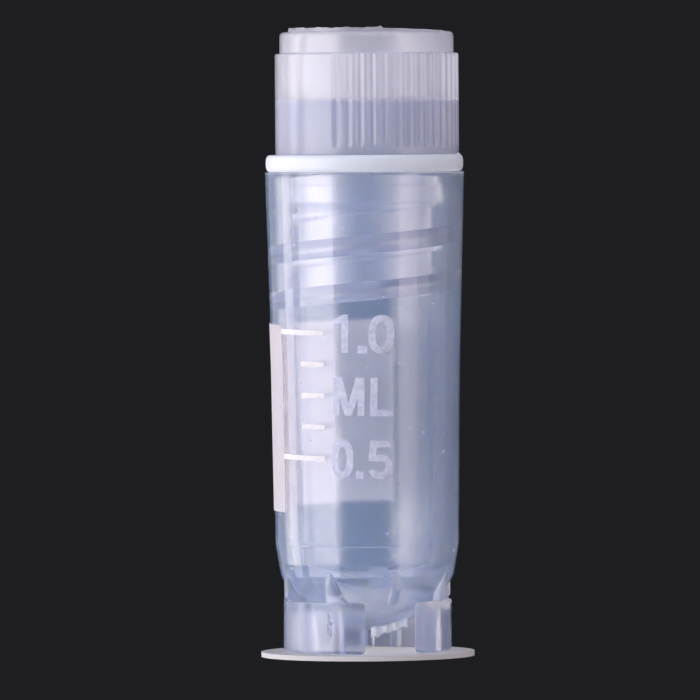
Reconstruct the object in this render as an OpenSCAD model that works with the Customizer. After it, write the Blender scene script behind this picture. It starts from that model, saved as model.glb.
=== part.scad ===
// Cryogenic vial with an internal thread: a moulded tube that stands on two curved feet, a screw cap with
// a hollow threaded stem, a silicone washer between them, and the ink printed on the tube.
// Millimetres. The origin is on the floor, on the tube's axis. +Z is up and -Y is the front.
// An azimuth is counted from the front, positive towards +X.

/* [Tube] */
// Outer radius of the tube at its mouth
mouth_r = 6.25; // [5.9:0.05:7.5]
// Height of the mouth above the floor
mouth_z = 30.1; // [28.5:0.1:45]
// Outer radius at the waist, where the wall's draft changes
waist_r = 5.9; // [5.8:0.01:6.1]
// Height of the waist
waist_z = 17.7; // [12:0.1:20]
// Outer radius at the mould's parting line, near the bottom
belt_r = 5.75; // [5.6:0.05:6.4]
// Height of the parting line
belt_z = 6.75; // [6:0.05:7.6]
// Outer radius where the wall turns into the domed bottom
knuckle_r = 5.43; // [5.36:0.01:5.55]
// Height where the wall turns into the domed bottom
knuckle_z = 4.8; // [4.6:0.05:5.2]
// Height of the lowest point of the dome
dome_z = 1.3; // [1:0.05:1.6]
// Thickness of the tube's bottom on the axis
floor_t = 1.7; // [1.3:0.05:2]
// Rise of the bore's rounded bottom from its middle to its edge
floor_rise = 2.6; // [2:0.05:3]
// Radius of the bore where it meets the rounded bottom; it widens from there to the thread
bore_r = 4.43; // [4.2:0.01:4.8]
// How far the moulding flash stands out, at the parting line and at the mouth
flash = 0.03; // [0.01:0.01:0.06]
// Radius of the gate stub under the dome
gate_r = 0.46; // [0.3:0.02:0.7]
// Height of the gate stub's end above the floor
gate_z = 0.3; // [0.15:0.05:0.8]

/* [Feet] */
// Height of a foot's wall
foot_h = 3.25; // [3:0.05:3.5]
// Outer radius of the feet
foot_r = 5.26; // [5.2:0.02:5.36]
// Thickness of a foot's wall
foot_wall = 0.8; // [0.6:0.02:1]
// Radius of the rounding along a foot's outer lower edge
foot_round = 0.24; // [0.1:0.02:0.3]
// Radius of a foot's corners, beside a slot
foot_corner = 0.36; // [0.1:0.02:0.5]
// Width of the slot between the two feet
slot_w = 3.1; // [2.4:0.05:3.4]
// Distance from the plane through the axis to the near side of a slot
slot_x = -0.16; // [-0.3:0.02:0.2]
// Thickness of the shelf that joins a foot's wall to the dome
shelf_t = 0.6; // [0.4:0.05:0.8]
// Thickness of the fin above a foot
fin_t = 0.75; // [0.5:0.05:1]
// Azimuth of the front fin
fin_azimuth = -25.4; // [-35:0.1:-18]
// How far the shelf reaches inwards from a foot's wall
shelf_l = 0.8; // [0.5:0.05:1]
// Thickness of the gussets halfway between the fins
gusset_t = 0.6; // [0.4:0.05:0.9]
// Outer radius of the gussets
gusset_r = 5.46; // [5.4:0.02:5.6]
// Height of a gusset's lower edge
gusset_z = 3.05; // [3:0.05:3.2]
// Depth of a gusset, inwards from its outer edge
gusset_d = 1.2; // [0.9:0.05:1.3]
// Height of the slanting lower edge of a gusset over a slot
gusset_slant = 0.9; // [0.5:0.05:1.2]
// Thickness of the rib inside a foot
rib_t = 0.52; // [0.4:0.02:0.8]
// Depth of the rib inside a foot, inwards from its wall
rib_d = 0.7; // [0.4:0.05:1]

/* [Thread] */
// Rise of the thread in one turn
pitch = 2.9; // [2.7:0.05:3.3]
// Radius of the widened bore that holds the tube's thread
thread_bore_r = 5; // [4.95:0.01:5.1]
// Depth of the widened bore below the mouth
thread_bore_d = 9.5; // [9:0.1:11]
// Depth of the upper turn's lower edge below the mouth, at the front
thread_front_d = 5.1; // [4.8:0.05:5.4]
// Depth below the mouth where the tube's ridge ends
thread_top_d = 2.5; // [2:0.1:3.5]
// Radius of the crest of the tube's ridge
tube_crest_r = 4.4; // [4.35:0.01:4.5]
// Radius of the crest of the stem's ridge
stem_crest_r = 4.88; // [4.7:0.01:4.9]
// Height of the flat crest on both ridges
crest_h = 0.26; // [0.2:0.02:0.4]
// Steepness of the flanks that bear on each other, height over depth
bearing_slope = 0.66; // [0.5:0.02:0.75]
// Steepness of the tube ridge's upper flank
tube_back_slope = 0.88; // [0.6:0.02:1]
// Steepness of the stem ridge's lower flank
stem_back_slope = 0.22; // [0.1:0.02:0.5]
// Gap between the bearing flanks, along the axis
flank_gap = 0.1; // [0.06:0.01:0.2]

/* [Cap] */
// Outer radius of the grip
grip_r = 5.76; // [5.66:0.02:6.2]
// How far the grip stands off the stem's axis, where the two halves of the mould met out of line
grip_shift = 0.18; // [0:0.01:0.2]
// Height of the grip above the washer
grip_h = 6.35; // [5.5:0.05:8]
// Outer radius of the ring on top of the grip
crown_r = 5.46; // [5.2:0.01:5.5]
// Height of the ring on top of the grip
crown_h = 1.36; // [1:0.02:2]
// Radius of the rounded edges of the cap
cap_edge = 0.35; // [0.1:0.05:0.5]
// Radius of the recess in the top
recess_r = 4.3; // [3.5:0.05:4.6]
// Depth of the recess in the top
recess_d = 4.31; // [4.1:0.01:4.8]
// Thickness of the web between the recess and the stem's bore
cap_web = 1; // [0.7:0.05:1.3]
// Outer radius of the bead that fills the mouth
bead_r = 4.92; // [4.89:0.01:4.94]
// Height of the bead
bead_h = 1.13; // [0.8:0.01:1.3]
// Outer radius of the neck above the bead, which carries the washer
neck_r = 4.68; // [4.5:0.01:4.8]
// Length of the neck and the bead below the grip
plug_l = 2.95; // [2.7:0.05:3.2]
// Radius of the stem below the bead
stem_r = 4.17; // [4.1:0.01:4.28]
// Length of the neck, the bead and the stem together
stem_l = 8.8; // [7.6:0.1:9.8]
// Radius of the bore inside the stem
stem_bore_r = 3.1; // [2.6:0.05:3.4]
// Flutes that would fill one turn of the grip
flutes_a_turn = 48; // [36:2:60]
// Flutes in each of the two fluted panels
flutes_a_panel = 15; // [8:1:16]
// Azimuth of the first rib of the front panel
rib_azimuth = -23.4; // [-40:0.1:0]
// Radius of the cutter that leaves a flute
flute_r = 0.29; // [0.2:0.01:0.34]
// Depth of a flute
flute_d = 0.16; // [0.06:0.01:0.2]
// Height of the plain band below the flutes
plain_h = 0.4; // [0.2:0.05:1]
// Height of the flash left standing on the ring
lip_h = 0.24; // [0.1:0.02:0.3]
// Thickness of that flash
lip_t = 0.2; // [0.1:0.02:0.3]
// Azimuth of the middle of that flash
lip_azimuth = -32; // [-60:1:0]
// Angle that the flash takes up
lip_span = 91; // [40:1:110]
// Azimuth of the nib where the flash tore off
nib_azimuth = 10; // [0:1:20]

/* [Washer] */
// Outer radius of the washer
washer_r = 6.2; // [5.96:0.01:6.4]
// Thickness of the washer
washer_h = 1.07; // [0.9:0.01:1.4]
// How far the washer's outer edge is rounded
washer_soft = 0.3; // [0.1:0.02:0.4]
// Gap between the washer and the cap's neck
washer_gap = 0.05; // [0.02:0.01:0.1]

/* [Print] */
// Thickness of the ink
ink_t = 0.06; // [0.03:0.01:0.1]
// Angle by which the whole print is set askew; heights below hold straight in front
print_skew = 1.3; // [0:0.1:2]
// Height of the writing panel's lower edge
panel_z = 8.69; // [7.8:0.01:10]
// Height of the writing panel
panel_h = 11.7; // [9:0.1:12]
// Azimuth where the writing panel ends near the front
panel_azimuth = -61; // [-75:1:-50]
// Angle that the writing panel takes up round the tube
panel_span = 139; // [100:1:160]
// Height of the mark for half a millilitre
half_mark_z = 12.2; // [11.5:0.05:13]
// Height between the marks for half and for one millilitre
mark_step = 7.82; // [7:0.02:8.2]
// Thickness of the marks
mark_h = 0.32; // [0.2:0.02:0.5]
// Azimuth where the marks end, near the numbers
mark_azimuth = -26; // [-32:0.5:-24]
// Angle that a short mark takes up
short_mark_span = 17; // [12:0.5:24]
// Height of the numbers
digit_h = 2.4; // [1.8:0.05:2.6]
// Stroke of the numbers
stroke = 0.42; // [0.3:0.02:0.5]

/* [Hidden] */
$fn = 96;

ARC_STEPS = 6; // straight steps in a small rounded corner
DOME_STEPS = 14; // straight steps in half of a dome
SWEEP_STEP = 15; // degrees from one section of a thread ridge to the next
RUN_OUT = 30; // degrees that a ridge takes to rise out of its wall
EMBED = 0.3; // depth that a ridge is rooted below its wall
SUNK = 0.12; // depth of a ridge's crest under its wall at both ends
MERGE = 0.2; // overlap of two forms that are one moulding
WALL_ROOT = 1.2; // depth below the parting line where a gusset ends inside the wall
PRINT_HALF_SPAN = 60; // degrees to each side of the front that can be printed

// The characters of each line of print, left to right: what it is, then its place and width over its height.
TOP_LINE = [["1", -0.65, 0.375], [".", -0.08, 0.25], ["0", 0.41, 0.675]];
UNIT_LINE = [["M", -0.46, 0.83], ["L", 0.41, 0.6]];
LOW_LINE = [["0", -0.64, 0.59], [".", -0.175, 0.19], ["5", 0.36, 0.63]];
FLAG = 0.27; // height of the 1's flag over the digit's
BOWL = 0.64; // height of the 5's bowl over the digit's
DIAGONAL = 1.3; // width of the M's diagonals over the stroke

// The outer surface of the bottom is a sphere through the knuckle and the dome's lowest point.
dome_rise = knuckle_z - dome_z;
dome_r = (knuckle_r * knuckle_r + dome_rise * dome_rise) / (2 * dome_rise);
bore_floor_z = dome_z + floor_t;
bore_floor_r = (bore_r * bore_r + floor_rise * floor_rise) / (2 * floor_rise);
thread_floor_z = mouth_z - thread_bore_d;

cap_z = mouth_z + washer_h;
grip_top_z = cap_z + grip_h;
cap_top_z = grip_top_z + crown_h;
recess_z = cap_top_z - recess_d;
bead_z = cap_z - plug_l;
bead_top_z = bead_z + bead_h;
stem_z = cap_z - stem_l;

// Where each ridge cuts its own wall, measured from the tube ridge's lower edge.
tube_depth = thread_bore_r - tube_crest_r;
tube_crest_low = tube_depth * bearing_slope;
tube_crest_top = tube_crest_low + crest_h;
tube_root_top = tube_crest_top + tube_depth * tube_back_slope;
stem_depth = stem_crest_r - stem_r;
stem_crest_top = (thread_bore_r - stem_crest_r) * bearing_slope - flank_gap;
stem_crest_low = stem_crest_top - crest_h;
stem_root_top = stem_crest_top + stem_depth * bearing_slope;
stem_root_low = stem_crest_low - stem_depth * stem_back_slope;

// Height of the tube ridge's lower edge at the front, on its upper turn.
thread_front_z = mouth_z - thread_front_d;
// The turning angle at which the helix has risen by a height.
function turn_at(z) = 360 * (z - thread_front_z) / pitch;
tube_turn_from = turn_at(thread_floor_z + MERGE);
tube_turn_to = turn_at(mouth_z - thread_top_d - tube_root_top);
stem_turn_from = turn_at(stem_z + MERGE / 2 - stem_root_low);
stem_turn_to = turn_at(bead_top_z - stem_root_top - MERGE);

// Outer radius of the tube's wall above the parting line: one draft up to the waist, another above it.
function wall_r(z) = z < waist_z
    ? belt_r + (waist_r - belt_r) * (z - belt_z) / (waist_z - belt_z)
    : waist_r + (mouth_r - waist_r) * (z - waist_z) / (mouth_z - waist_z);
// Where a line of print that would be at height z in front comes to lie at another azimuth.
function askew(z, azimuth) = z - tan(print_skew) * wall_r(z) * azimuth * PI / 180;

// Points of an arc, from one angle to another.
function arc(x, y, r, from, to, steps) =
    [for (i = [0 : steps]) let (a = from + (to - from) * i / steps) [x + r * cos(a), y + r * sin(a)]];

// Points of a closed oval, squarer as power grows.
function squarish(v, power) = sign(v) * pow(abs(v), 2 / power);
function oval(w, h, power) =
    [for (a = [0 : 10 : 350]) [w / 2 * squarish(cos(a), power), h / 2 * squarish(sin(a), power)]];

// Turns a profile about the axis, between two azimuths.
module sector(from, to) {
    rotate([0, 0, from - 90]) rotate_extrude(angle = to - from) children();
}

// Carries children from the front, at azimuth 0, round to another azimuth.
module at_azimuth(a) {
    rotate([0, 0, a]) children();
}

// A flat outline seen from the front, pushed from the axis out to a radius.
module facing_front(r) {
    rotate([90, 0, 0]) linear_extrude(height = r) children();
}

// A vertical plate that stands out from the axis at the front.
module radial_plate(thickness, r_from, r_to, z_from, z_to) {
    translate([-thickness / 2, -r_to, z_from]) cube([thickness, r_to - r_from, z_to - z_from]);
}

// One section of a thread ridge: two corners rooted in the wall and two on the crest.
function ridge_section(turn, lift, wall, crest, low, top, slope_low, slope_top) =
    let (
        side = sign(wall - crest),
        root = wall + side * EMBED,
        low_root = low - slope_low * abs(root - crest),
        top_root = top + slope_top * abs(root - crest),
        sunk = side * (abs(wall - crest) + SUNK),
        tip = crest + sunk * (1 - lift),
        gone = abs(tip - crest),
        corners = [
            [root, low_root],
            [tip, low - slope_low * gone],
            [tip, top + slope_top * gone],
            [root, top_root],
        ],
        rise = thread_front_z + pitch * turn / 360
    )
    [for (c = corners) [c[0] * sin(turn), -c[0] * cos(turn), c[1] + rise]];

// A thread ridge swept along its helix, rising out of the wall at both ends.
module ridge(from, to, wall, crest, low, top, slope_low, slope_top) {
    count = ceil((to - from) / SWEEP_STEP);
    points = [
        for (i = [0 : count])
            let (turn = from + (to - from) * i / count, out = min(turn - from, to - turn))
            each ridge_section(turn, min(1, out / RUN_OUT), wall, crest, low, top, slope_low, slope_top)
    ];
    sides = [for (i = [0 : count - 1]) for (k = [0 : 3])
        let (a = 4 * i + k, b = 4 * i + (k + 1) % 4) each [[a, b, a + 4], [b, b + 4, a + 4]]];
    start = [[0, 2, 1], [0, 3, 2]];
    end = [for (f = [[0, 1, 2], [0, 2, 3]]) [for (v = f) v + 4 * count]];
    faces = concat(sides, start, end);
    // A ridge with its crest inwards turns its sections over.
    polyhedron(points, wall < crest ? faces : [for (f = faces) [f[0], f[2], f[1]]]);
}

// Wall, dome, bore and widened bore in one profile.
module tube_wall() {
    dome_c = dome_z + dome_r;
    knuckle_angle = atan2(knuckle_z - dome_c, knuckle_r);
    bore_c = bore_floor_z + bore_floor_r;
    bore_angle = atan2(floor_rise - bore_floor_r, bore_r);
    outside = [
        [belt_r, belt_z - flash],
        [belt_r + flash, belt_z],
        [wall_r(belt_z + flash), belt_z + flash],
        [waist_r, waist_z],
        [wall_r(mouth_z - 3 * flash), mouth_z - 3 * flash],
        [mouth_r + flash, mouth_z - flash],
        [mouth_r + flash, mouth_z],
    ];
    inside = [
        [thread_bore_r + MERGE, mouth_z],
        [thread_bore_r, mouth_z - MERGE],
        [thread_bore_r, thread_floor_z],
    ];
    rotate_extrude() polygon(concat(
        arc(0, dome_c, dome_r, -90, knuckle_angle, DOME_STEPS),
        outside,
        inside,
        arc(0, bore_c, bore_floor_r, bore_angle, -90, DOME_STEPS)
    ));
}

// The outline of a slot seen from the front, open above and below, which leaves the feet round corners.
module slot_outline() {
    far = slot_x + slot_w;
    polygon(concat(
        arc(slot_x - foot_corner, foot_corner, foot_corner, -90, 0, ARC_STEPS),
        arc(slot_x - foot_corner, foot_h - foot_corner, foot_corner, 0, 90, ARC_STEPS),
        [[slot_x - foot_corner, foot_h + MERGE], [far + foot_corner, foot_h + MERGE]],
        arc(far + foot_corner, foot_h - foot_corner, foot_corner, 90, 180, ARC_STEPS),
        arc(far + foot_corner, foot_corner, foot_corner, 180, 270, ARC_STEPS),
        [[far + foot_corner, -MERGE], [slot_x - foot_corner, -MERGE]]
    ));
}

// The wall that the tube stands on, with the shelf that joins it to the dome. Two slots part it in two feet.
module feet() {
    shelf_z = foot_h - shelf_t;
    inner = foot_r - foot_wall;
    difference() {
        rotate_extrude() polygon(concat(
            [[inner, 0]],
            arc(foot_r + flash - foot_round, foot_round, foot_round, -90, 0, ARC_STEPS),
            [
                [foot_r, foot_h],
                [inner - shelf_l / 2, foot_h],
                [inner - shelf_l, shelf_z],
                [inner, shelf_z],
            ]
        ));
        for (k = [0, 1]) at_azimuth(180 * k) facing_front(2 * foot_r) slot_outline();
    }
}

// A fin above a foot and the rib inside it, at the front.
module fin_and_rib() {
    inner = foot_r - foot_wall;
    radial_plate(fin_t, inner + MERGE, foot_r - flash, foot_h - MERGE, knuckle_z + MERGE);
    radial_plate(rib_t, inner - rib_d, inner + MERGE, flash, foot_h);
}

// A gusset fills the corner under the dome, at the front. Its lower edge slants up to its outer edge.
module gusset(slant_h, slant_d) {
    rotate([90, 0, 90]) translate([0, 0, -gusset_t / 2]) linear_extrude(height = gusset_t) polygon([
        [-gusset_r, belt_z - WALL_ROOT],
        [-gusset_r, gusset_z + slant_h],
        [slant_d - gusset_r, gusset_z],
        [gusset_d - gusset_r, gusset_z],
        [gusset_d - gusset_r, belt_z - WALL_ROOT],
    ]);
}

module vial_body() {
    color([0.72, 0.76, 0.86, 0.6]) {
        tube_wall();
        ridge(tube_turn_from, tube_turn_to, thread_bore_r, tube_crest_r, tube_crest_low, tube_crest_top,
            bearing_slope, tube_back_slope);
        feet();
        for (k = [0 : 3]) at_azimuth(fin_azimuth + 90 * k) fin_and_rib();
        for (k = [0, 1]) at_azimuth(fin_azimuth + 45 + 180 * k) {
            gusset(gusset_slant, gusset_d - MERGE);
            at_azimuth(90) gusset(gusset_r - foot_r + MERGE, gusset_r - foot_r + MERGE);
        }
        translate([0, 0, gate_z]) cylinder(r = gate_r, h = dome_z - gate_z + MERGE);
    }
}

module washer() {
    edge = [for (a = [-90 : 15 : 90]) [
        washer_r - washer_soft + washer_soft * squarish(cos(a), 2.6),
        mouth_z + washer_h / 2 * (1 + squarish(sin(a), 2.6)),
    ]];
    color([0.95, 0.95, 0.97]) rotate_extrude() polygon(concat(
        edge,
        [[neck_r + washer_gap, cap_z], [neck_r + washer_gap, mouth_z]]
    ));
}

// Carries children from the stem's axis to the grip's.
module on_grip() {
    translate([grip_shift, 0, 0]) children();
}

// Grip and ring, with the recess in the top.
module grip_solid() {
    edge = cap_edge;
    rotate_extrude() polygon(concat(
        [[0, cap_z], [grip_r, cap_z]],
        arc(grip_r - edge / 2, grip_top_z - edge / 2, edge / 2, 0, 90, ARC_STEPS),
        [[crown_r, grip_top_z]],
        arc(crown_r - edge, cap_top_z - edge, edge, 0, 90, ARC_STEPS),
        [
            [recess_r + MERGE, cap_top_z],
            [recess_r, cap_top_z - MERGE],
            [recess_r, recess_z],
            [0, recess_z],
        ]
    ));
}

// Stem, bead and neck, rooted in the grip.
module stem_solid() {
    rotate_extrude() polygon([
        [0, stem_z],
        [stem_r - MERGE, stem_z],
        [stem_r, stem_z + MERGE],
        [stem_r, bead_z - (bead_r - stem_r) / 2],
        [bead_r, bead_z],
        [bead_r, bead_top_z - (bead_r - neck_r) / 2],
        [neck_r, bead_top_z],
        [neck_r, cap_z + MERGE],
        [0, cap_z + MERGE],
    ]);
}

// The cutter for one flute: it runs out above the plain band and is open at the grip's top.
module flute_cutter() {
    out = flute_r - flute_d;
    translate([0, -grip_r - out, 0]) rotate_extrude($fn = 32) polygon([
        [0, cap_z + plain_h],
        [flute_r, cap_z + plain_h + 2 * flute_r],
        [flute_r, grip_top_z + MERGE],
        [0, grip_top_z + MERGE],
    ]);
}

// Flash that the mould left on the ring, with a nib where it tore off.
module flash_lip() {
    lip_r = crown_r - cap_edge - lip_t / 2;
    sector(lip_azimuth - lip_span / 2, lip_azimuth + lip_span / 2) polygon([
        [lip_r - lip_t / 2, cap_top_z - MERGE],
        [lip_r + lip_t / 2, cap_top_z - MERGE],
        [lip_r + lip_t / 8, cap_top_z + lip_h],
        [lip_r - lip_t / 8, cap_top_z + lip_h],
    ]);
    at_azimuth(nib_azimuth) translate([0, -lip_r, cap_top_z])
        cylinder(r1 = lip_t / 2, r2 = lip_t / 5, h = 1.5 * lip_h);
}

module cap() {
    step = 360 / flutes_a_turn;
    color([0.85, 0.85, 0.92, 0.8]) {
        difference() {
            union() {
                on_grip() grip_solid();
                stem_solid();
            }
            translate([0, 0, stem_z - MERGE])
                cylinder(r = stem_bore_r, h = recess_z - cap_web - stem_z + MERGE);
            on_grip() for (side = [0, 180]) for (k = [0 : flutes_a_panel - 1])
                at_azimuth(rib_azimuth + side + (k + 0.5) * step) flute_cutter();
        }
        ridge(stem_turn_from, stem_turn_to, stem_r, stem_crest_r, stem_crest_low, stem_crest_top,
            stem_back_slope, bearing_slope);
        on_grip() flash_lip();
    }
}

// The section of a coat of ink on the tube's wall, from one height to another.
module ink_profile(z_from, z_to) {
    heights = [z_from, if (z_from < waist_z && waist_z < z_to) waist_z, z_to];
    last = len(heights) - 1;
    polygon(concat(
        [for (z = heights) [wall_r(z) + ink_t, z]],
        [for (i = [last : -1 : 0]) [wall_r(heights[i]), heights[i]]]
    ));
}

// A band of ink between two azimuths, cut square and then set askew.
module ink_band(from, to, z_from, z_to) {
    middle = (from + to) / 2;
    half = (to - from) / 2;
    lean = atan(tan(print_skew) * half * PI / 180 / sin(half));
    wide = 4 * mouth_r;
    intersection() {
        sector(from, to) ink_profile(askew(z_from, to) - MERGE, askew(z_to, from) + MERGE);
        at_azimuth(middle) translate([0, 0, askew(z_from, middle)]) rotate([0, lean, 0])
            translate([-wide / 2, -wide / 2, 0]) cube([wide, wide, z_to - z_from]);
    }
}

module writing_panel() {
    color([0.97, 0.97, 1])
        ink_band(panel_azimuth - panel_span, panel_azimuth, panel_z, panel_z + panel_h);
}

// Four steps from half a millilitre to one: long marks at both ends, short ones between.
module graduation_marks() {
    color([1, 1, 1]) for (k = [0 : 4]) {
        z = half_mark_z + mark_step * k / 4;
        from = (k == 0 || k == 4) ? panel_azimuth : mark_azimuth - short_mark_span;
        ink_band(from, mark_azimuth, z - mark_h / 2, z + mark_h / 2);
    }
}

// The characters stand on y = 0 and are centred on x = 0.
module digit_0(w) {
    translate([0, digit_h / 2]) difference() {
        polygon(oval(w, digit_h, 2.5));
        polygon(oval(w - 2 * stroke, digit_h - 2 * stroke, 2.2));
    }
}

module digit_1(w) {
    flag = digit_h * FLAG;
    polygon([
        [w / 2 - stroke, 0],
        [w / 2, 0],
        [w / 2, digit_h],
        [w / 2 - stroke * 0.8, digit_h],
        [-w / 2, digit_h - flag / 2],
        [-w / 2, digit_h - flag],
        [w / 2 - stroke, digit_h - flag * 0.8],
    ]);
}

module digit_5(w) {
    bowl_h = digit_h * BOWL;
    outer = oval(w, bowl_h, 2.4);
    inner = oval(w - 2 * stroke, bowl_h - 2 * stroke, 2.2);
    difference() {
        translate([0, bowl_h / 2]) difference() {
            polygon(outer);
            polygon(inner);
        }
        translate([-w, bowl_h * 0.36]) square([w, bowl_h * 0.36]);
    }
    translate([-w / 2 + stroke / 4, digit_h - stroke]) square([w - stroke / 2, stroke]);
    polygon([
        [-w / 2 + stroke / 4, digit_h - stroke / 2],
        [-w / 2 + stroke * 1.25, digit_h - stroke / 2],
        [-w / 2 + stroke, bowl_h * 0.74],
        [-w / 2, bowl_h * 0.74],
    ]);
}

module letter_m(w) {
    inner_h = digit_h * (1 - 2 * stroke / (w - stroke));
    notch_h = digit_h * stroke / (w + stroke * (1 - 2 * DIAGONAL));
    right = [
        [stroke / 2, 0],
        [w / 2 - stroke, inner_h],
        [w / 2 - stroke, 0],
        [w / 2, 0],
        [w / 2, digit_h],
        [w / 2 - DIAGONAL * stroke, digit_h],
    ];
    left = [for (i = [len(right) - 1 : -1 : 0]) [-right[i][0], right[i][1]]];
    polygon(concat(right, [[0, notch_h]], left));
}

module letter_l(w) {
    translate([-w / 2, 0]) square([stroke, digit_h]);
    translate([-w / 2, 0]) square([w, stroke]);
}

module point(w) {
    translate([-w / 2, 0]) square([w, stroke * 1.1]);
}

module character(what, w) {
    if (what == "0") digit_0(w);
    if (what == "1") digit_1(w);
    if (what == "5") digit_5(w);
    if (what == "M") letter_m(w);
    if (what == "L") letter_l(w);
    if (what == ".") point(w);
}

// One line of print, with each character's place measured round the wall.
module print_line(line, z) {
    for (c = line) let (azimuth = c[1] * digit_h / wall_r(z) * 180 / PI)
        at_azimuth(azimuth) translate([0, 0, askew(z, azimuth)]) facing_front(2 * mouth_r)
            rotate(-print_skew) translate([0, -digit_h / 2]) character(c[0], c[2] * digit_h);
}

module graduation_numbers() {
    color([1, 1, 1]) intersection() {
        sector(-PRINT_HALF_SPAN, PRINT_HALF_SPAN)
            ink_profile(half_mark_z - digit_h, half_mark_z + mark_step + digit_h);
        union() {
            print_line(LOW_LINE, half_mark_z);
            print_line(UNIT_LINE, half_mark_z + mark_step / 2);
            print_line(TOP_LINE, half_mark_z + mark_step);
        }
    }
}

vial_body();
washer();
cap();
writing_panel();
graduation_marks();
graduation_numbers();
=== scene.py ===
"""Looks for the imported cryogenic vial: clear, milky and white plastics, print, and studio light."""

import math

import bmesh
import bpy
from mathutils import Matrix, Vector


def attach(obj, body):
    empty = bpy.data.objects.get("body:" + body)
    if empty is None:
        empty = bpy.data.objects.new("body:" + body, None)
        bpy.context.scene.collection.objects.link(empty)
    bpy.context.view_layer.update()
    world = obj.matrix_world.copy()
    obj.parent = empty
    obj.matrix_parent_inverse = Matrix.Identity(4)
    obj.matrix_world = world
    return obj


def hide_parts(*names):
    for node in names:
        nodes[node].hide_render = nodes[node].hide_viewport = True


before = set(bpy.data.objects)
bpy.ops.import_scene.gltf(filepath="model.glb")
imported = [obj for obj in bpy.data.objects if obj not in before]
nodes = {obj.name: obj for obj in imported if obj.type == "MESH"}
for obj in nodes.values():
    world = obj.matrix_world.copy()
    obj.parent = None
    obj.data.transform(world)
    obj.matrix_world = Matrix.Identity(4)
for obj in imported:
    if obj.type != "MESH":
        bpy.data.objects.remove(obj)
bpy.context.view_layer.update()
MM = 0.001

scene = bpy.context.scene
scene.view_settings.view_transform = "Standard"

# ---------------------------------------------------------------- camera

DISTANCE = 620 * MM  # from the camera to the tube's axis
EYE_Z = 33.5 * MM
AIM = Vector((-0.99 * MM, 0, 18.9 * MM))
ROLL = math.radians(-0.42)
SENSOR = 36  # mm
WIDTH_SEEN = 43.97 * MM  # across the picture, at the axis

eye = Vector((AIM.x, -DISTANCE, EYE_Z))
camera_data = bpy.data.cameras.new("camera")
camera_data.sensor_width = SENSOR
camera_data.lens = SENSOR * (AIM - eye).length / WIDTH_SEEN
camera_data.clip_start = 0.05
camera_data.clip_end = 5
camera = bpy.data.objects.new("camera", camera_data)
scene.collection.objects.link(camera)
look = (AIM - eye).to_track_quat("-Z", "Y").to_matrix().to_4x4()
camera.matrix_world = Matrix.Translation(eye) @ look @ Matrix.Rotation(ROLL, 4, "Z")
scene.camera = camera


# ---------------------------------------------------------------- lights


LIGHT_DISTANCE = 350 * MM
LIT_Z = 20 * MM  # the height that all panels face
KEY = 4.5  # how bright the brightest panel is
COOL, WARM, SKY = (1, 0.92, 0.96), (1, 0.86, 0.88), (0.84, 0.92, 1.1)
SIDE = (-27, 27)  # degrees of elevation
GROUND = (0.0131, 0.0133, 0.0155, 1)  # the near black behind the vial
PANELS = (  # the azimuths and the elevations that each panel of light fills, how bright it is, and its colour
    ("far_left", (-150, -112), SIDE, 0.13 * KEY, COOL),
    ("rear_left", (-112, -97), SIDE, 0.75 * KEY, COOL),
    ("left", (-85, -38), SIDE, KEY, COOL),
    ("right", (40, 65), SIDE, 0.6 * KEY, WARM),
    ("right_side", (65, 81), SIDE, 0.25 * KEY, WARM),
    ("rear_right", (81, 113), SIDE, 0.07 * KEY, WARM),
    ("far_right", (113, 155), SIDE, 0.02 * KEY, COOL),
    ("above", (-40, 80), (42, 82), 0.36 * KEY, SKY),
)


def softbox(name, azimuths, elevations, radiance, colour):
    """A soft panel of light facing the vial. Azimuth 0 is at the camera, positive to its right."""
    a, e = (math.radians(sum(limits) / 2) for limits in (azimuths, elevations))
    data = bpy.data.lights.new("light_" + name, "AREA")
    data.shape = "RECTANGLE"
    data.size = 2 * LIGHT_DISTANCE * math.tan(math.radians(azimuths[1] - azimuths[0]) / 2 * math.cos(e))
    data.size_y = 2 * LIGHT_DISTANCE * math.tan(math.radians(elevations[1] - elevations[0]) / 2)
    data.energy = radiance * math.pi * data.size * data.size_y
    data.color = colour
    light = bpy.data.objects.new(data.name, data)
    scene.collection.objects.link(light)
    centre = Vector((0, 0, LIT_Z))
    toward = Vector((math.sin(a) * math.cos(e), -math.cos(a) * math.cos(e), math.sin(e)))
    light.location = centre + toward * LIGHT_DISTANCE
    light.rotation_euler = (centre - light.location).to_track_quat("-Z", "Y").to_euler()


for panel in PANELS:
    softbox(*panel)

world = bpy.data.worlds.new("world")
scene.world = world
world.use_nodes = True
world.node_tree.nodes["Background"].inputs["Color"].default_value = GROUND


# ---------------------------------------------------------------- materials


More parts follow.
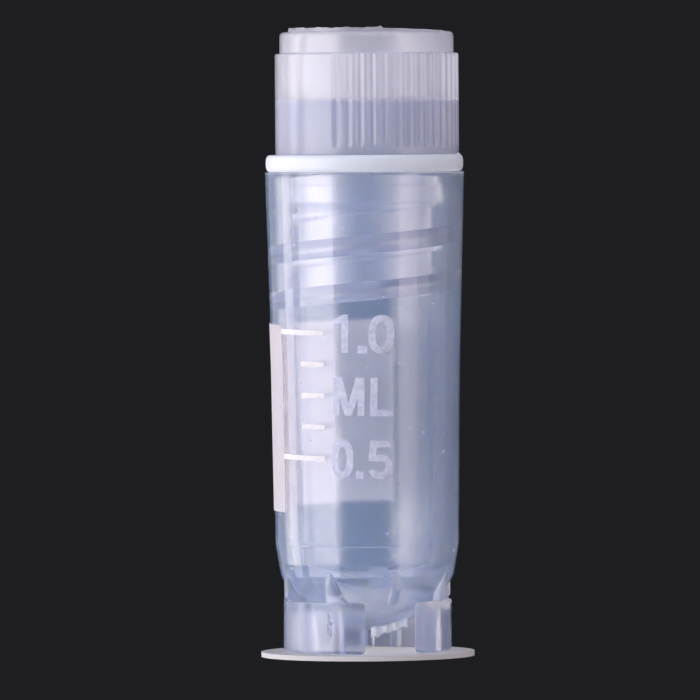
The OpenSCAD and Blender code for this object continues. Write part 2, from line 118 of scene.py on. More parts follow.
class Tree:
    """A short way to write a material's nodes."""

    def __init__(self, name):
        self.material = bpy.data.materials.new(name)
        self.material.use_nodes = True
        self.nodes = self.material.node_tree.nodes
        self.links = self.material.node_tree.links
        self.nodes.clear()
        self.out = self.nodes.new("ShaderNodeOutputMaterial")

    def add(self, kind, **inputs):
        node = self.nodes.new("ShaderNode" + kind)
        for key, value in inputs.items():
            self.set(node, key.replace("_", " "), value)
        return node

    def set(self, node, key, value):
        socket = node.inputs[int(key[1:])] if key.startswith("i") and key[1:].isdigit() else node.inputs[key]
        if isinstance(value, bpy.types.NodeSocket):
            self.links.new(value, socket)
        else:
            socket.default_value = value

    def place(self):
        return self.add("TexCoord").outputs["Object"]

    def noise(self, scale, detail=2, vector=None):
        n = self.add("TexNoise", Scale=scale, Detail=detail, Vector=vector or self.place())
        return n.outputs["Fac"]

    def ramp(self, value, low, high, to_low, to_high):
        n = self.add("MapRange", Value=value)
        for key, v in (("From Min", low), ("From Max", high), ("To Min", to_low), ("To Max", to_high)):
            n.inputs[key].default_value = v
        return n.outputs["Result"]

    def bump(self, height, strength, distance):
        return self.add("Bump", Strength=strength, Distance=distance, Height=height).outputs["Normal"]

    def blend(self, kind, share, a, b):
        """A number or a colour between a and b."""
        n = self.add("Mix")
        n.data_type = kind
        n.inputs["Factor"].default_value = 0
        wanted = "VALUE" if kind == "FLOAT" else kind
        ends = {socket.name: socket for socket in n.inputs if socket.type == wanted}
        for socket, value in ((n.inputs[0], share), (ends["A"], a), (ends["B"], b)):
            if isinstance(value, bpy.types.NodeSocket):
                self.links.new(value, socket)
            else:
                socket.default_value = value
        return next(socket for socket in n.outputs if socket.type == wanted)

    def times(self, a, b):
        n = self.add("Math", i0=a, i1=b)
        n.operation = "MULTIPLY"
        return n.outputs[0]

    def mix(self, share, a, b):
        n = self.add("MixShader", i0=share, i1=a, i2=b)
        return n.outputs[0]


DUST = (0.9, 0.9, 0.95, 1)
PLASTIC_IOR = 1.49
GRAIN_D = 0.02 * MM  # depth of the fine grain of all surfaces


def dusty(t, shader, scale, size, inside):
    """White specks of dust on the front of a surface, outside a radius round the axis."""
    near = t.add("TexVoronoi", Scale=scale, Vector=t.place()).outputs["Distance"]
    speck = t.ramp(near, size * scale * 0.7, size * scale, 1, 0)
    away = t.add("VectorMath", i0=t.place(), i1=(1, 1, 0))
    away.operation = "MULTIPLY"
    radius = t.add("VectorMath", i0=away.outputs["Vector"])
    radius.operation = "LENGTH"
    outer = t.ramp(radius.outputs["Value"], inside, inside + 0.05 * MM, 0, 1)
    front = t.ramp(t.add("SeparateXYZ", Vector=t.place()).outputs["Y"], -1 * MM, 0, 1, 0)
    lit, lit_through = (t.add(kind, Color=DUST).outputs[0] for kind in ("BsdfDiffuse", "BsdfTranslucent"))
    dust = t.mix(0.5, lit, lit_through)
    return t.mix(t.times(speck, t.times(outer, front)), shader, dust)


def translucent(name, clear, levels, radius, grain, let_through, dust=0, shine=0.5):
    """Plastic that is part clear and part milky. Lamps reach through it to what is behind.

    levels gives, from the bottom up, (height in mm where it starts, milky share, milk's colour, roughness).
    Where these change with height, as on the cap, they are painted light and shade.
    """
    t = Tree(name)
    fine = t.noise(900, 3)
    broad = t.noise(140, 2)
    normal = t.bump(fine, grain, GRAIN_D)
    z = t.add("SeparateXYZ", Vector=t.place()).outputs["Z"]
    start, share, milk, rough = levels[0]
    # Where the levels change with height, the milk and its share are painted light and shade.
    for start, next_share, next_milk, next_rough in levels[1:]:
        above = t.ramp(z, (start - 0.12) * MM, (start + 0.12) * MM, 0, 1)
        share = t.blend("FLOAT", above, share, next_share)
        milk = t.blend("RGBA", above, milk, next_milk)
        rough = t.blend("FLOAT", above, rough, next_rough)
    milk = t.blend("RGBA", t.ramp(broad, 0.3, 0.7, 0, 0.15), milk, (0.34, 0.44, 0.7, 1))
    glass = t.add("BsdfPrincipled")
    for key, value in (
        ("Base Color", clear),
        ("Transmission Weight", 1.0),
        ("IOR", PLASTIC_IOR),
        ("Roughness", rough),
        ("Specular IOR Level", shine),
        ("Normal", normal),
    ):
        t.set(glass, key, value)
    haze = t.add("BsdfPrincipled")
    for key, value in (
        ("Base Color", milk),
        ("Subsurface Weight", 1.0),
        ("Subsurface Radius", radius),
        ("Subsurface Scale", 1 * MM),
        ("IOR", PLASTIC_IOR),
        ("Roughness", rough),
        ("Normal", normal),
    ):
        t.set(haze, key, value)
    body = t.mix(share, glass.outputs[0], haze.outputs[0])
    if dust:
        body = dusty(t, body, 1000, dust, 5.5 * MM)
    through = t.add("BsdfTransparent", Color=let_through).outputs[0]
    lamp = t.add("LightPath").outputs["Is Shadow Ray"]
    t.links.new(t.mix(lamp, body, through), t.out.inputs["Surface"])
    return t.material


def white(name, colour, roughness, radius, scale, grain, glow=0.0, through_colour=None, thin=0.0):
    """An opaque white. glow is the share of light that reaches through it, as through thin ink.

    thin is the share of it, in fine mottles, that is worn so far that the plastic shows through.
    """
    t = Tree(name)
    fine = t.noise(scale, 4)
    skin = t.add("BsdfPrincipled")
    normal = t.bump(fine, grain, GRAIN_D)
    for key, value in (
        ("Base Color", (*colour, 1)),
        ("Subsurface Weight", 1.0 if radius else 0.0),
        ("Subsurface Radius", (radius, radius, radius)),
        ("Subsurface Scale", 1 * MM),
        ("Roughness", t.ramp(fine, 0.3, 0.7, roughness * 0.85, roughness * 1.15)),
        ("Normal", normal),
    ):
        t.set(skin, key, value)
    surface = skin.outputs[0]
    if glow:
        share = t.ramp(t.noise(scale / 2, 2), 0.35, 0.65, glow * 0.75, glow * 1.25)
        inner = t.add("BsdfTranslucent", Color=through_colour).outputs[0]
        through = t.add("BsdfTransparent", Color=[glow * c for c in through_colour[:3]] + [1]).outputs[0]
        lamp = t.add("LightPath").outputs["Is Shadow Ray"]
        surface = t.mix(share, surface, inner)
        if thin:
            worn = t.ramp(t.noise(scale * 0.7, 4), 0.35, 0.65, 0, 2 * thin)
            surface = t.mix(worn, surface, t.add("BsdfTransparent", Color=(1, 1, 1, 1)).outputs[0])
        surface = t.mix(lamp, surface, through)
    t.links.new(surface, t.out.inputs["Surface"])
    return t.material


CAP_Z, RECESS_Z = 31.17, 34.57  # underside of the cap's grip, floor of the recess in its top

CLEAR, LET_THROUGH = (0.985, 0.98, 0.968, 1), (0.92, 0.9, 0.86, 1)
wall, foot, stem = (  # (height, milky share, milk's colour, roughness)
    (0, 0.135, (0.46, 0.64, 1.0, 1), 0.12),
    (0, 0.3, (0.36, 0.43, 0.6, 1), 0.15),
    (0, 0.05, (0.6, 0.7, 1.0, 1), 0.35),
)
tube_plastic = translucent("tube_plastic", CLEAR, (wall,), (0.6, 0.8, 1.2), 0.03, LET_THROUGH, 0.065 * MM)
thick_plastic = translucent("tube_plastic", CLEAR, (foot,), (0.8, 0.9, 1.2), 0.03, LET_THROUGH)
stem_plastic = translucent(
    "cap_plastic", (0.8, 0.83, 0.9, 1), (stem,), (0.8, 0.9, 1.2), 0.05, LET_THROUGH, shine=0.1
)
# Painted shade and light: the cap is one plastic, but below the recess floor its milk is painted darker and
# denser as shade, and above it lighter as light through the thin hollow walls.
solid_painted_shade, hollow = (0.9, (0.44, 0.47, 0.57, 1), 0.2), (0.36, (0.7, 0.73, 0.86, 1), 0.2)
cap_plastic = translucent(
    "cap_plastic", CLEAR, ((0, *solid_painted_shade), (RECESS_Z, *hollow)), (5, 5, 6), 0.12, (0.7, 0.7, 0.7, 1)
)
silicone = white("washer_silicone", (0.78, 0.84, 1.0), 0.42, 0.5, 1500, 0.2)
# Painted light and shade: the marks and the numbers are one white ink, but the marks' copy is painted lighter
# and the numbers' copy darker.
mark_ink_lit_copy = white("white_ink", (0.96, 0.97, 1.0), 0.6, 0, 4000, 0.5, 0.15, (0.9, 0.9, 0.95, 1), 0.06)
number_ink_shaded_copy = white("white_ink", (0.8, 0.85, 1.0), 0.6, 0, 4000, 0.5, 0.2, (0.72, 0.74, 0.9, 1), 0.12)
panel_ink = white("white_ink", (0.66, 0.7, 0.79), 0.6, 0, 4000, 0.5, 0.4, (0.95, 0.87, 0.8, 1))


# ---------------------------------------------------------------- forms
# Lengths here are in millimetres; each form is scaled to metres as its mesh is made.


def turned(x, y, azimuth):
    """The point (x, y), turned about the axis by an azimuth in degrees. Azimuth 0 is at the front."""
    a = math.radians(azimuth)
    return x * math.cos(a) - y * math.sin(a), x * math.sin(a) + y * math.cos(a)


def make(name, points, faces):
    """A closed form, with its faces turned outwards."""
    mesh = bpy.data.meshes.new(name)
    mesh.from_pydata([(x * MM, y * MM, z * MM) for x, y, z in points], [], faces)
    build = bmesh.new()
    build.from_mesh(mesh)
    if build.calc_volume(signed=True) < 0:
        bmesh.ops.reverse_faces(build, faces=build.faces)
        build.to_mesh(mesh)
    build.free()
    piece = bpy.data.objects.new(name, mesh)
    scene.collection.objects.link(piece)
    return piece


def rounded(corners, steps=4):
    """Points of a line through corners (a, b, radius), each corner turned on its radius."""
    line = []
    for k, (a, b, radius) in enumerate(corners):
        here = Vector((a, b))
        if not radius or k in (0, len(corners) - 1):
            line.append(here)
            continue
        before, after = Vector(corners[k - 1][:2]) - here, Vector(corners[k + 1][:2]) - here
        reach = min(radius, before.length * 0.49, after.length * 0.49)
        start, end = here + before.normalized() * reach, here + after.normalized() * reach
        for i in range(steps + 1):
            t = i / steps
            line.append(start * (1 - t) ** 2 + here * 2 * t * (1 - t) + end * t * t)
    return [(v.x, v.y) for v in line]


def supported(profile, gap=0.05):
    """The closed profile with a point near both ends of each long side, which keeps smooth shading true."""
    line = []
    for (a, b), (c, d) in zip(profile, profile[1:] + profile[:1]):
        line.append((a, b))
        length = math.hypot(c - a, d - b)
        if length > 5 * gap and max(a, c) > 1e-6:
            t = gap / length
            line += [(a + (c - a) * t, b + (d - b) * t), (c - (c - a) * t, d - (d - b) * t)]
    return line


def arc(a, b, radius, start, end, steps):
    turn = [math.radians(start + (end - start) * i / steps) for i in range(steps + 1)]
    return [(a + radius * math.cos(t), b + radius * math.sin(t)) for t in turn]


def lathe(name, profile, steps, shape=None):
    """Turns a closed profile of (radius, z), which may start and end on the axis.

    shape(radius, z, azimuth) may change each radius.
    """
    shape = shape or (lambda r, z, azimuth: r)
    points, rows = [], []
    for r, z in profile:
        if r < 1e-6:
            rows.append([len(points)] * steps)
            points.append((0, 0, z))
            continue
        rows.append(list(range(len(points), len(points) + steps)))
        for i in range(steps):
            azimuth = 360 * i / steps
            points.append((*turned(0, -shape(r, z, azimuth), azimuth), z))
    closed = profile[0][0] > 1e-6
    faces = []
    for k in range(len(rows) - (0 if closed else 1)):
        a, b = rows[k], rows[(k + 1) % len(rows)]
        for i in range(steps):
            j = (i + 1) % steps
            face = list(dict.fromkeys((a[i], a[j], b[j], b[i])))
            if len(face) > 2:
                faces.append(face)
    return make(name, points, faces)


def sweep(name, sections):
    """A closed tube through like sections, capped at both ends."""
    n = len(sections[0])
    points = [p for s in sections for p in s]
    faces = [
        [k * n + i, k * n + (i + 1) % n, (k + 1) * n + (i + 1) % n, (k + 1) * n + i]
        for k in range(len(sections) - 1)
        for i in range(n)
    ]
    faces += [list(range(n - 1, -1, -1)), [len(points) - n + i for i in range(n)]]
    return make(name, points, faces)


def around(name, sides, outline, place, azimuth, soft, copies=4):
    """Forms spread evenly round the axis, with soft edges. place(side, point) gives each corner."""
    build = bmesh.new()
    for copy in range(copies):
        turn = azimuth + 360 / copies * copy
        ends = []
        for side in sides:
            corners = [place(side, point) for point in outline]
            ends.append([build.verts.new((*turned(x, y, turn), z)) for x, y, z in corners])
        build.faces.new(ends[0])
        build.faces.new(ends[1][::-1])
        for i in range(len(outline)):
            j = (i + 1) % len(outline)
            build.faces.new((ends[0][i], ends[1][i], ends[1][j], ends[0][j]))
    bmesh.ops.recalc_face_normals(build, faces=build.faces)
    bmesh.ops.bevel(build, geom=build.edges[:], offset=soft, segments=2, affect="EDGES", profile=0.5)
    for v in build.verts:
        v.co *= MM
    mesh = bpy.data.meshes.new(name)
    build.to_mesh(mesh)
    build.free()
    piece = bpy.data.objects.new(name, mesh)
    scene.collection.objects.link(piece)
    return piece


def plates(name, thickness, outline, azimuth, soft, copies=4):
    """Upright plates that stand out from the axis. The outline is (radius, z)."""
    sides = (-thickness / 2, thickness / 2)
    return around(name, sides, outline, lambda x, point: (x, -point[0], point[1]), azimuth, soft, copies)


def studs(name, outline, r_in, r_out, azimuth, soft):
    """Forms that stand on the tube's wall. The outline is (across, z)."""
    return around(name, (r_in, r_out), outline, lambda r, point: (point[0], -r, point[1]), azimuth, soft)


def fuse(base, *parts, operation="UNION"):
    """Joins forms that are one moulding into one skin, or cuts them out of it."""
    for part in parts:
        joint = base.modifiers.new("fuse", "BOOLEAN")
        joint.operation = operation
        joint.solver = "MANIFOLD"
        joint.object = part
        bpy.context.view_layer.update()
        evaluated = base.evaluated_get(bpy.context.evaluated_depsgraph_get())
        mesh = bpy.data.meshes.new_from_object(evaluated)
        base.modifiers.clear()
        base.data = mesh
        bpy.data.objects.remove(part)
    return base


def skinned(piece, choice, *materials):
    """Gives a form a list of materials and the one of them that it wears, before it is fused."""
    for material in materials:
        piece.data.materials.append(material)
    for face in piece.data.polygons:
        face.material_index = choice
    return piece


def finish(piece, body, material, angle, *stands_for):
    """Smooths a piece except at edges sharper than the angle, dresses it and hangs it on its body."""
    if not any(piece.data.materials):
        piece.data.materials.clear()
        piece.data.materials.append(material)
    piece.data.shade_smooth()
    piece.data.set_sharp_from_angle(angle=math.radians(angle))
    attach(piece, body)
    if stands_for:
        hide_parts(*stands_for)
    return piece


# ---------------------------------------------------------------- tube

MOUTH_R, MOUTH_Z = 6.25, 30.1
WAIST_R, WAIST_Z = 5.9, 17.7
BELT_R, BELT_Z = 5.75, 6.75
KNUCKLE_R, KNUCKLE_Z = 5.43, 4.8
DOME_Z, FLOOR_T, FLOOR_RISE, BORE_R = 1.3, 1.7, 2.6, 4.43
FLASH = 0.03
THREAD_BORE_R, THREAD_FLOOR_Z, THREAD_TOP_D = 5, 20.6, 2.5
FOOT_R, FOOT_IN_R, FOOT_H = 5.26, 4.46, 3.25
FOOT_ROUND, FOOT_CORNER, SLOT_X, SLOT_W = 0.24, 0.36, -0.16, 3.1
FIN_AZIMUTH = -25.4
PITCH, THREAD_FRONT_Z, RUN_OUT = 2.9, 25.0, 30
TUBE_CREST_R, STEM_CREST_R, CREST_H = 4.4, 4.88, 0.26
BEARING_SLOPE, TUBE_BACK_SLOPE, STEM_BACK_SLOPE = 0.66, 0.88, 0.22


def wall_r(z):
    """The tube's outer radius above the parting line: one draft up to the waist, another above it."""
    if z < WAIST_Z:
        return BELT_R + (WAIST_R - BELT_R) * (z - BELT_Z) / (WAIST_Z - BELT_Z)
    return WAIST_R + (MOUTH_R - WAIST_R) * (z - WAIST_Z) / (MOUTH_Z - WAIST_Z)


def thread(name, start, end, wall, crest, low, top, slope_low, slope_top, step=3):
    """A thread ridge along its helix, with rounded corners, rising out of its wall at both ends."""
    side = 1 if wall > crest else -1
    root = wall + side * 0.3
    sections = []
    count = math.ceil((end - start) / step)
    for i in range(count + 1):
        turn = start + (end - start) * i / count
        lift = min(1, (turn - start) / RUN_OUT, (end - turn) / RUN_OUT)
        tip = crest + side * (abs(wall - crest) + 0.12) * (1 - lift)
        gone = abs(tip - crest)
        outline = [
            (root, low - slope_low * abs(root - crest), 0),
            (tip, low - slope_low * gone, 0.09),
            (tip, top + slope_top * gone, 0.09),
            (root, top + slope_top * abs(root - crest), 0),
        ]
        rise = THREAD_FRONT_Z + PITCH * turn / 360
        sections.append([(*turned(0, -r, turn), z + rise) for r, z in rounded(outline, 3)])
    return sweep(name, sections)


def turn_at(z):
    """The turning angle at which the helix has risen to a height."""
    return 360 * (z - THREAD_FRONT_Z) / PITCH


def torn_gate(k, y):
    """One crumpled sheet of the plastic left where the gate was torn off the tube's underside."""
    sections = []
    for i in range(25):
        x = 0.2 + 2.3 * i / 24
        edge = 0.84 + 0.33 * x + 0.1 * math.sin(7.1 * x + 2.3 * k) + 0.06 * math.sin(17.3 * x + 1.7 * k)
        lean = 0.13 * math.sin(9.7 * x + 1.9 * k)
        top = 1.75 + 0.1 * x - 0.2 * y
        ring = [(y - 0.1, top), (y + 0.1, top), (y + 0.02 + lean, edge), (y - 0.02 + lean, edge)]
        sections.append([(x, along, z) for along, z in ring])
    return sweep(f"torn_gate_{k}", sections)


def sink_mark(azimuth):
    """A deep uneven dent where the front foot's outer face sank in over its rib."""
    sections = []
    for i in range(25):
        up = -1 + 2 * i / 24
        z = 1.8 + 0.84 * up
        full = math.sqrt(max(0, 1 - up * up))
        wide = 0.2 * full + 0.01
        deep = 0.2 * full * (1 + 0.3 * math.sin(11 * up) + 0.25 * math.sin(23 * up)) + 0.002
        shift = 0.04 * math.sin(6 * up) - 0.05 * up
        ring = [(-wide, FOOT_R + 0.1), (-wide * 0.5, FOOT_R - deep), (wide * 0.2, FOOT_R - deep * 0.6)]
        ring += [(wide * 0.5, FOOT_R - deep * 0.9), (wide, FOOT_R + 0.1)]
        sections.append([(*turned(x + shift, -r, azimuth), z) for x, r in ring])
    return sweep("sink_mark", sections)


def make_feet():
    """The skirt that the tube stands on, with its shelf. Two slots with round corners part it in two feet."""
    skirt = [(FOOT_IN_R, 0, 0.08), (FOOT_R + FLASH, 0, FOOT_ROUND), (FOOT_R, FOOT_H, 0.08)]
    skirt += [(4.06, FOOT_H, 0), (3.66, FOOT_H - 0.6, 0), (FOOT_IN_R, FOOT_H - 0.6, 0.1)]
    feet = lathe("feet", supported(rounded([(FOOT_IN_R, 1, 0), *skirt, (FOOT_IN_R, 1.1, 0)], 6)), 240)
    c, low, high = FOOT_CORNER, FOOT_CORNER, FOOT_H - FOOT_CORNER
    edge = arc(-c, low, c, -90, 0, 8) + arc(-c, high, c, 0, 90, 8) + [(-c, FOOT_H + 0.3)]
    far = [(SLOT_W - x, z) for x, z in reversed(edge)]
    outline = edge + far + [(SLOT_W + c, -0.3), (-c, -0.3)]
    skinned(feet, 1, tube_plastic, thick_plastic)
    for side in (1, -1):
        slot = sweep("slot", [[(side * (SLOT_X + x), side * y, z) for x, z in outline] for y in (-8, -1)])
        fuse(feet, skinned(slot, 1, tube_plastic, thick_plastic), operation="DIFFERENCE")
    return feet


def make_tube():
    """The tube in one skin: wall, bore, thread, skirt, fins, ribs, gussets and what is left of the gate."""
    rise = KNUCKLE_Z - DOME_Z
    dome_r = (KNUCKLE_R**2 + rise**2) / (2 * rise)
    dome_c = DOME_Z + dome_r
    knuckle = math.degrees(math.atan2(KNUCKLE_Z - dome_c, KNUCKLE_R))
    dome = arc(0, dome_c, dome_r, -90, knuckle - 1.5, 36)
    floor_z = DOME_Z + FLOOR_T
    floor_r = (BORE_R**2 + FLOOR_RISE**2) / (2 * FLOOR_RISE)
    floor_c = floor_z + floor_r
    edge = math.degrees(math.atan2(FLOOR_RISE - floor_r, BORE_R))
    bore = arc(0, floor_c, floor_r, edge - 4, -90, 28)
    outside = rounded(
        [
            (*dome[-1], 0),
            (KNUCKLE_R, KNUCKLE_Z, 0.15),
            (BELT_R, BELT_Z - FLASH, 0),
            (BELT_R + FLASH, BELT_Z, 0),
            (wall_r(BELT_Z + 2 * FLASH), BELT_Z + 2 * FLASH, 0),
            (WAIST_R, WAIST_Z, 3),
            (wall_r(MOUTH_Z - 4 * FLASH), MOUTH_Z - 4 * FLASH, 0),
            (MOUTH_R + FLASH * 0.9, MOUTH_Z - FLASH, 0.02),
            (MOUTH_R + FLASH * 0.6, MOUTH_Z, 0.02),
            (THREAD_BORE_R + 0.2, MOUTH_Z, 0.12),
            (THREAD_BORE_R, MOUTH_Z - 0.25, 0.12),
            (THREAD_BORE_R, THREAD_FLOOR_Z, 3),
            (BORE_R, floor_z + FLOOR_RISE, 0.8),
            (*bore[0], 0),
        ]
    )
    profile = dome + outside[1:] + bore[1:]
    profile[0] = (0, DOME_Z)
    profile[-1] = (0, floor_z)
    tube = lathe("tube", supported(profile), 240)
    depth = THREAD_BORE_R - TUBE_CREST_R
    low = depth * BEARING_SLOPE
    top = low + CREST_H
    ridge = thread(
        "tube_ridge",
        turn_at(THREAD_FLOOR_Z + 0.2),
        turn_at(MOUTH_Z - THREAD_TOP_D - top - depth * TUBE_BACK_SLOPE),
        THREAD_BORE_R,
        TUBE_CREST_R,
        low,
        top,
        BEARING_SLOPE,
        TUBE_BACK_SLOPE,
    )
    walls = make_feet()
    fin = [(-0.36, 3.0), (1.3, 3.0), (1.3, 3.22), (0.85, 3.3), (0.6, 3.55), (0.46, 4.0)]
    fin += [(0.3, 4.6), (0.14, 5.0), (-0.1, 5.05), (-0.28, 4.8), (-0.36, 4.3)]
    fins = studs("fins", fin, 4.66, 5.24, FIN_AZIMUTH, 0.05)
    for v in fins.data.vertices:  # they lean out to the wall above
        lean = 1 + 0.032 * max(0, v.co.z / MM - FOOT_H)
        v.co.x, v.co.y = v.co.x * lean, v.co.y * lean
    ribs = plates("ribs", 0.52, [(3.76, 0.04), (4.66, 0.04), (4.66, 3.2), (3.76, 3.2)], FIN_AZIMUTH, 0.07)
    over_slot = [(4.26, 3.05), (4.46, 3.05), (5.46, 3.95), (5.46, 5.55), (4.26, 5.55)]
    over_foot = [(4.26, 3.05), (5.06, 3.05), (5.46, 3.45), (5.46, 5.55), (4.26, 5.55)]
    gussets = plates("gussets_over_slots", 0.6, over_slot, FIN_AZIMUTH + 45, 0.08, 2)
    gussets_2 = plates("gussets_over_feet", 0.6, over_foot, FIN_AZIMUTH + 135, 0.08, 2)
    gate = lathe("gate", rounded([(0, 0.3, 0), (0.42, 0.3, 0.06), (0.46, 1.5, 0), (0, 1.5, 0)]), 32)
    skinned(tube, 0, tube_plastic, thick_plastic)
    for form in (ridge, fins, ribs, gussets, gussets_2, gate):
        skinned(form, 1, tube_plastic, thick_plastic)
    sheets = [torn_gate(k, y) for k, y in enumerate((-1.7, -1.35, -1.0, -0.65, -0.3))]
    scars = [skinned(sheet, 1, tube_plastic, thick_plastic) for sheet in sheets]
    fuse(tube, ridge, walls, fins, ribs, gussets, gussets_2, gate, *scars)
    dent = skinned(sink_mark(FIN_AZIMUTH - 1.4), 1, tube_plastic, thick_plastic)
    return fuse(tube, dent, operation="DIFFERENCE")


# ---------------------------------------------------------------- cap

GRIP_TOP_Z, CAP_TOP_Z = 37.52, 38.88
GRIP_R, CROWN_R, EDGE, GRIP_SHIFT = 5.76, 5.46, 0.35, 0.18
RECESS_R, WEB = 4.3, 1
BEAD_R, BEAD_Z, BEAD_TOP_Z, NECK_R = 4.92, 28.22, 29.35, 4.68
STEM_R, STEM_Z, STEM_BORE_R = 4.17, 22.37, 3.1
FLUTES, FLUTES_A_PANEL, RIB_AZIMUTH = 48, 15, -23.4
FLUTE_R, FLUTE_D, PLAIN_H, RUN_OUT_H = 0.29, 0.13, 0.4, 0.6
LIP_H, LIP_T, LIP_START, LIP_TORN, LIP_END = 0.24, 0.2, -78, 10, 82


def fluted(r, z, azimuth):
    """The grip's radius where a flute is cut into it, with the rib's edges softened."""
    low = CAP_Z + PLAIN_H
    if z <= low or z > GRIP_TOP_Z + 0.01 or r < CROWN_R + 0.05:
        return r
    step = 360 / FLUTES
    place = ((azimuth - RIB_AZIMUTH) % 180) / step
    if place > FLUTES_A_PANEL:
        return r
    across = (place % 1 - 0.5) * math.radians(step) * GRIP_R
    runs_out = FLUTE_D * (1 - min(1, (z - low) / RUN_OUT_H)) ** 2
    deep = math.sqrt(max(0, FLUTE_R * FLUTE_R - across * across)) - (FLUTE_R - FLUTE_D) - runs_out
    soft = 0.03
    return min(r, GRIP_R - soft * math.log1p(math.exp(min(deep / soft, 40))))


def flash_lip():
    """Flash left standing on the cap's ring: a thin wavy film, torn off low to one side of its nib."""
    middle = CROWN_R - EDGE - LIP_T / 2
    sections = []
    for azimuth in range(LIP_START, LIP_END + 1, 2):
        wave = 0.02 * math.sin(azimuth * 0.31) + 0.015 * math.sin(azimuth * 0.83 + 1)
        if azimuth <= LIP_TORN:
            h = min(LIP_H, 0.07 * (azimuth - LIP_START)) + wave
        else:
            h = 0.8 * LIP_H * (LIP_END - azimuth) / (LIP_END - LIP_TORN) + wave / 3
        if azimuth == LIP_TORN:
            h += 0.1
        top = CAP_TOP_Z + max(h, 0.01)
        half = LIP_T / 2
        ring = [(middle - half, CAP_TOP_Z - 0.15), (middle + half, CAP_TOP_Z - 0.15)]
        ring += [(middle + half / 4, top), (middle - half / 4, top)]
        around = [turned(0, -r, azimuth) for r, z in ring]
        sections.append([(x + GRIP_SHIFT, y, z) for (x, y), (r, z) in zip(around, ring)])
    return sweep("flash_lip", sections)


def make_cap():
    """The cap in one skin: grip, crown, recess, neck, bead, hollow stem, its thread and the lip of flash."""
    low = CAP_Z + PLAIN_H
    outline = [(STEM_BORE_R, STEM_Z, 0), (STEM_R, STEM_Z, 0.25)]
    outline += [(STEM_R, BEAD_Z - (BEAD_R - STEM_R) / 2, 0.15)]
    outline += [(BEAD_R, BEAD_Z, 0.15), (BEAD_R, BEAD_TOP_Z - 0.1, 0.1), (NECK_R, BEAD_TOP_Z, 0.08)]
    outline += [(NECK_R, CAP_Z, 0), (GRIP_R - 0.05, CAP_Z, 0), (GRIP_R, CAP_Z + 0.05, 0)]
    outline += [(GRIP_R, low + RUN_OUT_H * k / 7, 0) for k in range(8)]
    outline += [(GRIP_R, GRIP_TOP_Z, EDGE / 2), (CROWN_R, GRIP_TOP_Z, 0.1), (CROWN_R, CAP_TOP_Z, EDGE)]
    outline += [(RECESS_R, CAP_TOP_Z, 0.2), (RECESS_R, RECESS_Z, 0.25), (0, RECESS_Z, 0)]
    outline += [(0, RECESS_Z - WEB, 0), (STEM_BORE_R, RECESS_Z - WEB, 0.4)]
    profile = rounded(outline, 6)
    seat = next(k for k, p in enumerate(profile) if p[0] < 1e-6) + 1
    profile = profile[seat:] + profile[:seat]
    cap = lathe("cap_moulding", supported(profile), FLUTES * 12, fluted)
    for v in cap.data.vertices:
        r, z = math.hypot(v.co.x, v.co.y) / MM, v.co.z / MM
        if z > RECESS_Z - 0.01 or z > CAP_Z - 0.01 and r > NECK_R + 0.1:
            v.co.x += GRIP_SHIFT * MM
    depth = STEM_R - STEM_CREST_R
    crest_top = (THREAD_BORE_R - STEM_CREST_R) * BEARING_SLOPE - 0.1
    crest_low = crest_top - CREST_H
    root_low = crest_low + depth * STEM_BACK_SLOPE
    ridge = thread(
        "stem_ridge",
        turn_at(STEM_Z + 0.1 - root_low),
        turn_at(BEAD_TOP_Z - crest_top + depth * BEARING_SLOPE - 0.2),
        STEM_R,
        STEM_CREST_R,
        crest_low,
        crest_top,
        STEM_BACK_SLOPE,
        BEARING_SLOPE,
    )
    lip = flash_lip()
    for form in (cap, ridge, lip):
        skinned(form, 0, cap_plastic, stem_plastic)
    fuse(cap, ridge, lip)
    for face in cap.data.polygons:
        face.material_index = int(face.center.z < (CAP_Z - 0.01) * MM)
    return cap


# ---------------------------------------------------------------- print


SKEW = math.tan(math.radians(1.3))  # the whole print is set askew by this slope
PANEL_FROM, PANEL_TO, SHORT_MARK_FROM, MARKS_TO = -200, -61, -43, -26  # azimuths
LOW_MARK_Z, MARKS_SPAN, MARK_H = 12.2, 7.82, 0.32


def band(name, start, end, z_low, z_high, thick=0.06, sunk=0.03):
    """Ink on the tube's wall between two azimuths, rooted a hair's breadth in the plastic."""
    steps = max(2, math.ceil(abs(end - start) / 1.5))
    heights = [z_low, *([WAIST_Z] if z_low < WAIST_Z < z_high else []), z_high]
    sections = []
    for i in range(steps + 1):
        azimuth = start + (end - start) * i / steps
        drop = SKEW * wall_r(z_low) * math.radians(azimuth)
        ring = [(wall_r(z - drop) + thick, z - drop) for z in heights]
        ring += [(wall_r(z - drop) - sunk, z - drop) for z in reversed(heights)]
        sections.append([(*turned(0, -r, azimuth), z) for r, z in ring])
    return sweep(name, sections)


def rooted(node, name, sunk=0.03):
    """A copy of a printed node with its inner side rooted in the plastic."""
    mesh = nodes[node].data.copy()
    mesh.name = name
    mesh.materials.clear()
    for v in mesh.vertices:
        r = math.hypot(v.co.x, v.co.y)
        if r < (wall_r(v.co.z / MM) + 0.03) * MM:
            v.co.x *= 1 - sunk * MM / r
            v.co.y *= 1 - sunk * MM / r
    build = bmesh.new()
    build.from_mesh(mesh)
    bmesh.ops.remove_doubles(build, verts=build.verts, dist=1e-7)
    build.to_mesh(mesh)
    build.free()
    piece = bpy.data.objects.new(name, mesh)
    scene.collection.objects.link(piece)
    return piece


# ---------------------------------------------------------------- pieces

finish(make_tube(), "vial", tube_plastic, 35, "vial_body")
finish(make_cap(), "cap", cap_plastic, 40, "cap")

WASHER_R, WASHER_IN_R, WASHER_H, WASHER_SOFT, WASHER_FULL = 6.2, 4.73, 1.07, 0.3, 0.77
WASHER_NIB_H, WASHER_NIB_AZIMUTH, WASHER_NIB_SPAN = 0.13, 79, 2.5

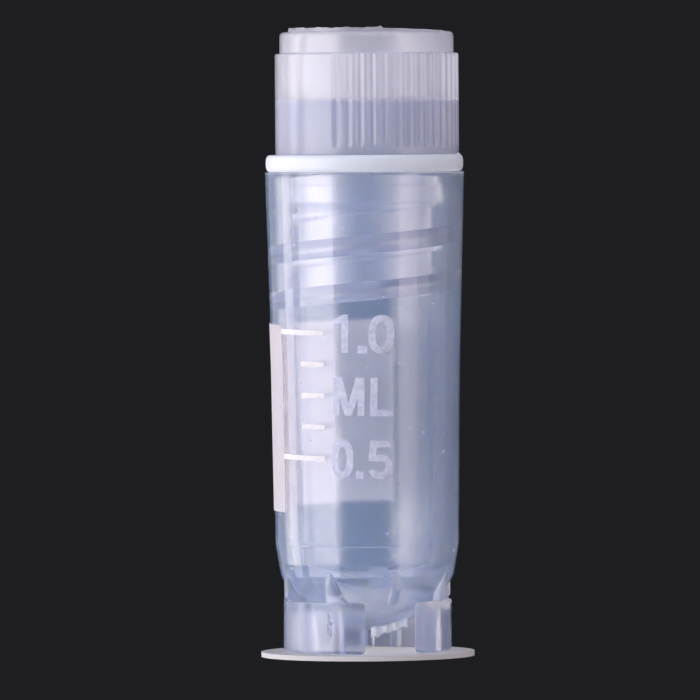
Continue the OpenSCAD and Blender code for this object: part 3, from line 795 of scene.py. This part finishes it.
washer_edge = []
for k in range(-6, 7):
    a = math.radians(15 * k)
    across = math.copysign(abs(math.cos(a)) ** WASHER_FULL, math.cos(a))
    up = math.copysign(abs(math.sin(a)) ** WASHER_FULL, math.sin(a))
    washer_edge.append((WASHER_R - WASHER_SOFT + WASHER_SOFT * across, MOUTH_Z + WASHER_H / 2 * (1 + up)))
washer = lathe("washer_ring", washer_edge + [(WASHER_IN_R, CAP_Z), (WASHER_IN_R, MOUTH_Z)], 240)
for v in washer.data.vertices:  # a nib of flash on the edge
    x, y, z = v.co / MM
    if math.hypot(x, y) > 5.75 and z > MOUTH_Z + 0.9:
        off = abs(math.degrees(math.atan2(x, -y)) - WASHER_NIB_AZIMUTH) / WASHER_NIB_SPAN
        v.co.z += WASHER_NIB_H * MM * max(0, 1 - off)
finish(washer, "washer", silicone, 35, "washer")

finish(band("panel_ink", PANEL_FROM, PANEL_TO, 8.69, 20.39), "vial", panel_ink, 35, "writing_panel")
marks = []
for k in range(5):
    z = LOW_MARK_Z + MARKS_SPAN * k / 4
    start = PANEL_TO if k in (0, 4) else SHORT_MARK_FROM
    marks.append(band(f"mark_{k}", start, MARKS_TO, z - MARK_H / 2, z + MARK_H / 2))
for k, mark in enumerate(marks):
    finish(mark, "vial", mark_ink_lit_copy, 35, *(["graduation_marks"] if k == 0 else []))
finish(rooted("graduation_numbers", "numbers_ink"), "vial", number_ink_shaded_copy, 35, "graduation_numbers")

# ---------------------------------------------------------------- floor


def floor():
    """The pale floor, as a small disc, because a wide one would show through the clear tube."""
    t = Tree("floor")
    paint = t.add("BsdfPrincipled", Roughness=0.7)
    paint.inputs["Base Color"].default_value = (0.6, 0.6, 0.62, 1)
    t.links.new(paint.outputs[0], t.out.inputs["Surface"])
    steps, radius, thick, gap = 96, 6.7 * MM, 0.3 * MM, 0.02 * MM
    turns = [2 * math.pi * i / steps for i in range(steps)]
    ring = [(radius * math.cos(turn), radius * math.sin(turn)) for turn in turns]
    points = [(x, y, -gap) for x, y in ring] + [(x, y, -gap - thick) for x, y in ring]
    faces = [list(range(steps)), list(range(2 * steps - 1, steps - 1, -1))]
    faces += [[i, i + steps, (i + 1) % steps + steps, (i + 1) % steps] for i in range(steps)]
    mesh = bpy.data.meshes.new("floor")
    mesh.from_pydata(points, [], faces)
    mesh.materials.append(t.material)
    disc = bpy.data.objects.new("floor", mesh)
    scene.collection.objects.link(disc)


floor()
